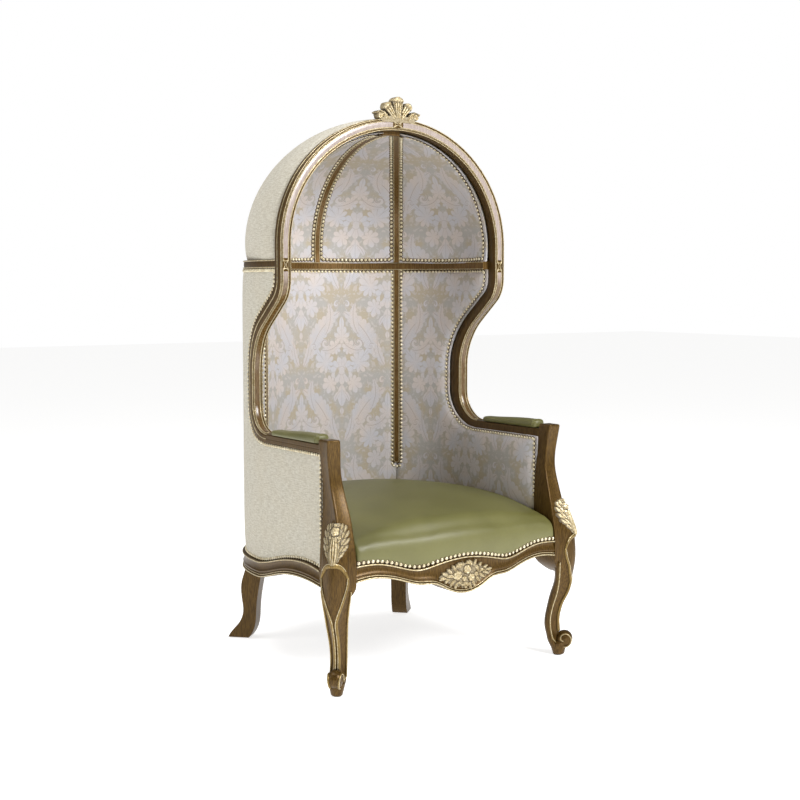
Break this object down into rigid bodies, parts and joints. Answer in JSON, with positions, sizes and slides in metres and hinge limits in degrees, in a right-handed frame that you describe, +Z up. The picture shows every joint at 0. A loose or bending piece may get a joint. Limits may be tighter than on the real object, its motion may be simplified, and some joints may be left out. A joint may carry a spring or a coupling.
{
  "type": "hooded armchair",
  "caption": "Tall carved armchair with a domed, ribbed hood over a round back, padded arms, a tight leather seat and cabriole front legs.",
  "frame": {"origin": "on the floor under the middle of the chair, midway along its footprint", "axes": "+Z up, the chair faces -Y, +X is to the right when looking at its front"},
  "size_m": [0.8532, 0.8732, 1.6416],
  "materials": {
    "painted_wood": "satin taupe-brown paint with gold lines",
    "gilded_carving": "rubbed gilding over carved wood",
    "olive_leather": "soft satin olive leather",
    "damask_lining": "woven damask, pale rose-grey",
    "dark_ribs": "dark bronze-brown with gold edges",
    "linen_cover": "plain cream linen",
    "plain_wood": "bare wood, hidden",
    "dust_cloth": "black dust cloth",
    "screws": "plain steel",
    "glides": "matt"
  },
  "bodies": {
    "root": {"hood_arch_left": "painted_wood", "hood_arch_right": "painted_wood", "wing_frame_left": "painted_wood", "wing_frame_right": "painted_wood", "arm_rail_left": "painted_wood", "arm_rail_right": "painted_wood", "front_leg_left": "painted_wood", "front_leg_right": "painted_wood", "back_leg_left": "painted_wood", "back_leg_right": "painted_wood", "front_rail": "painted_wood", "side_rail_left": "painted_wood", "side_rail_right": "painted_wood", "back_rail": "painted_wood", "crest_carving": "gilded_carving", "apron_carving": "gilded_carving", "arm_pad_left": "olive_leather", "arm_pad_right": "olive_leather", "seat_cushion": "olive_leather", "side_panel_left": "damask_lining", "side_panel_right": "damask_lining", "back_panel": "damask_lining", "hood_panel_front_left": "damask_lining", "hood_panel_front_right": "damask_lining", "hood_panel_back_left": "damask_lining", "hood_panel_back_right": "damask_lining", "back_upright_left": "dark_ribs", "back_upright_right": "dark_ribs", "hood_rib_centre": "dark_ribs", "hood_rib_left": "dark_ribs", "hood_rib_right": "dark_ribs", "side_belt_left": "dark_ribs", "side_belt_right": "dark_ribs", "back_belt": "dark_ribs", "outer_cover": "linen_cover", "hood_cover": "linen_cover", "seat_deck": "plain_wood", "corner_blocks": "plain_wood", "dust_cover": "dust_cloth", "block_screws": "screws", "floor_glides": "glides"}
  },
  "joints": []
}
